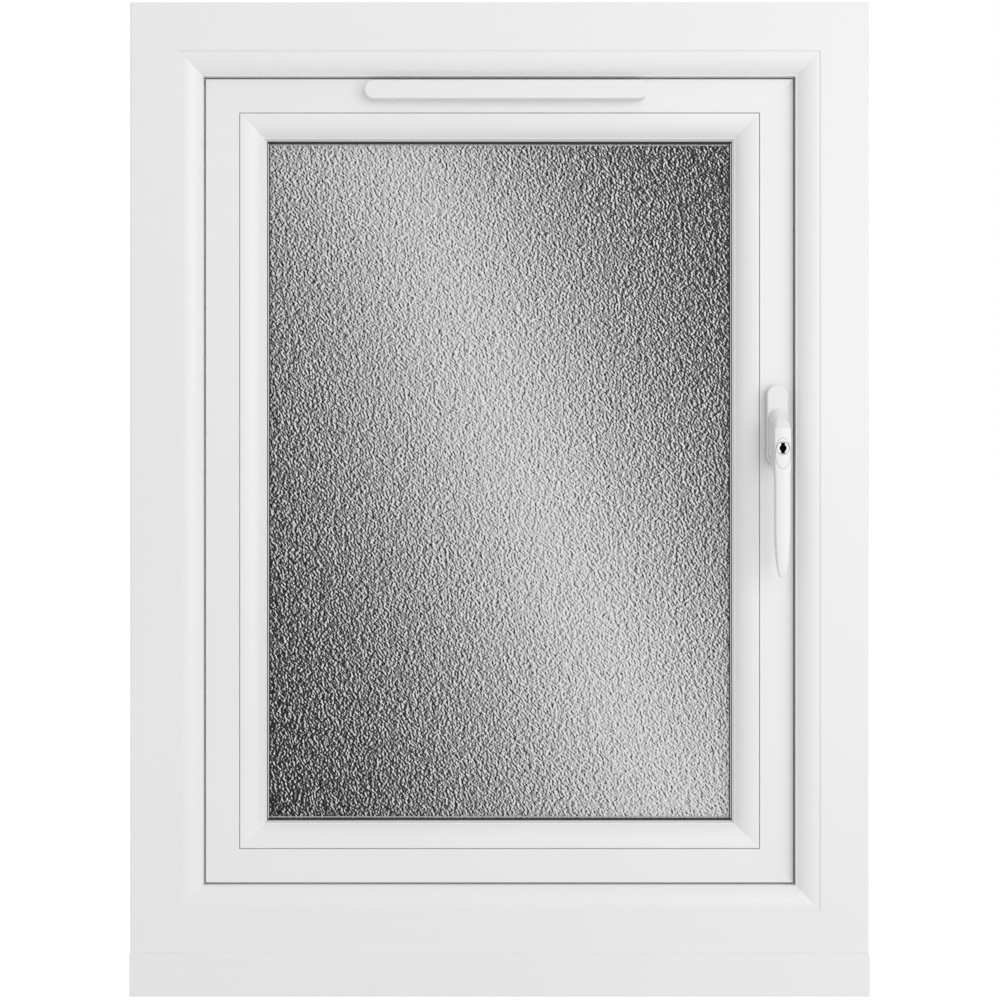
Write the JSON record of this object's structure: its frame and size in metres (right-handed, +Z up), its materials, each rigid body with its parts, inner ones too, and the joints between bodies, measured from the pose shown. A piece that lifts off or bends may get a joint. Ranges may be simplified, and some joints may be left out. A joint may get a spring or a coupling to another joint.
{
  "type": "side-hung window",
  "caption": "Side-hung casement window of white plastic profiles with an obscured double-glazed unit, trickle vent, turning lever handle and projecting cill.",
  "frame": {"origin": "on the cill's underside, at mid-width and at mid-depth of the outer frame", "axes": "+X to the handle side, +Y to the weather side, +Z up; the room face looks along -Y"},
  "size_m": [0.61, 0.1708, 0.82],
  "materials": {
    "frame_plastic": "white extruded plastic, smooth satin gloss",
    "sash_plastic": "white extruded plastic, smooth satin gloss",
    "bead_plastic": "white extruded plastic, smooth satin gloss",
    "obscured_glass": "rolled glass with a fine stippled relief",
    "clear_glass": "clear float glass",
    "spacer_metal": "mill aluminium spacer bar",
    "seal_rubber": "black extruded rubber seal",
    "vent_plastic": "white moulded plastic, satin",
    "handle_paint": "white powder coat on a metal casting",
    "lock_metal": "satin nickel lock barrel",
    "cap_plastic": "white moulded plastic end caps"
  },
  "bodies": {
    "window": {"frame_head": "frame_plastic", "frame_bottom_rail": "frame_plastic", "frame_hinge_jamb": "frame_plastic", "frame_lock_jamb": "frame_plastic", "sash_top_rail": "sash_plastic", "sash_bottom_rail": "sash_plastic", "sash_hinge_stile": "sash_plastic", "sash_lock_stile": "sash_plastic", "bead_top": "bead_plastic", "bead_bottom": "bead_plastic", "bead_left": "bead_plastic", "bead_right": "bead_plastic", "inner_pane": "obscured_glass", "outer_pane": "clear_glass", "pane_spacer": "spacer_metal", "glazing_gasket_inside": "seal_rubber", "glazing_gasket_outside": "seal_rubber", "weather_seal_inside": "seal_rubber", "weather_seal_outside": "seal_rubber", "vent_cover": "vent_plastic", "vent_canopy": "vent_plastic", "handle_backplate": "handle_paint", "cill": "frame_plastic", "cill_end_cap_left": "cap_plastic", "cill_end_cap_right": "cap_plastic", "drain_caps": "cap_plastic"},
    "handle": {"handle_lever": "handle_paint", "lock_insert": "handle_paint", "lock_barrel": "lock_metal"}
  },
  "joints": [
    {"name": "handle_turn", "type": "hinge", "parent": "window", "child": "handle", "pos_m": [0.23, -0.0325, 0.4712], "axis": [0, 1, 0], "range_deg": [0, 90]}
  ]
}
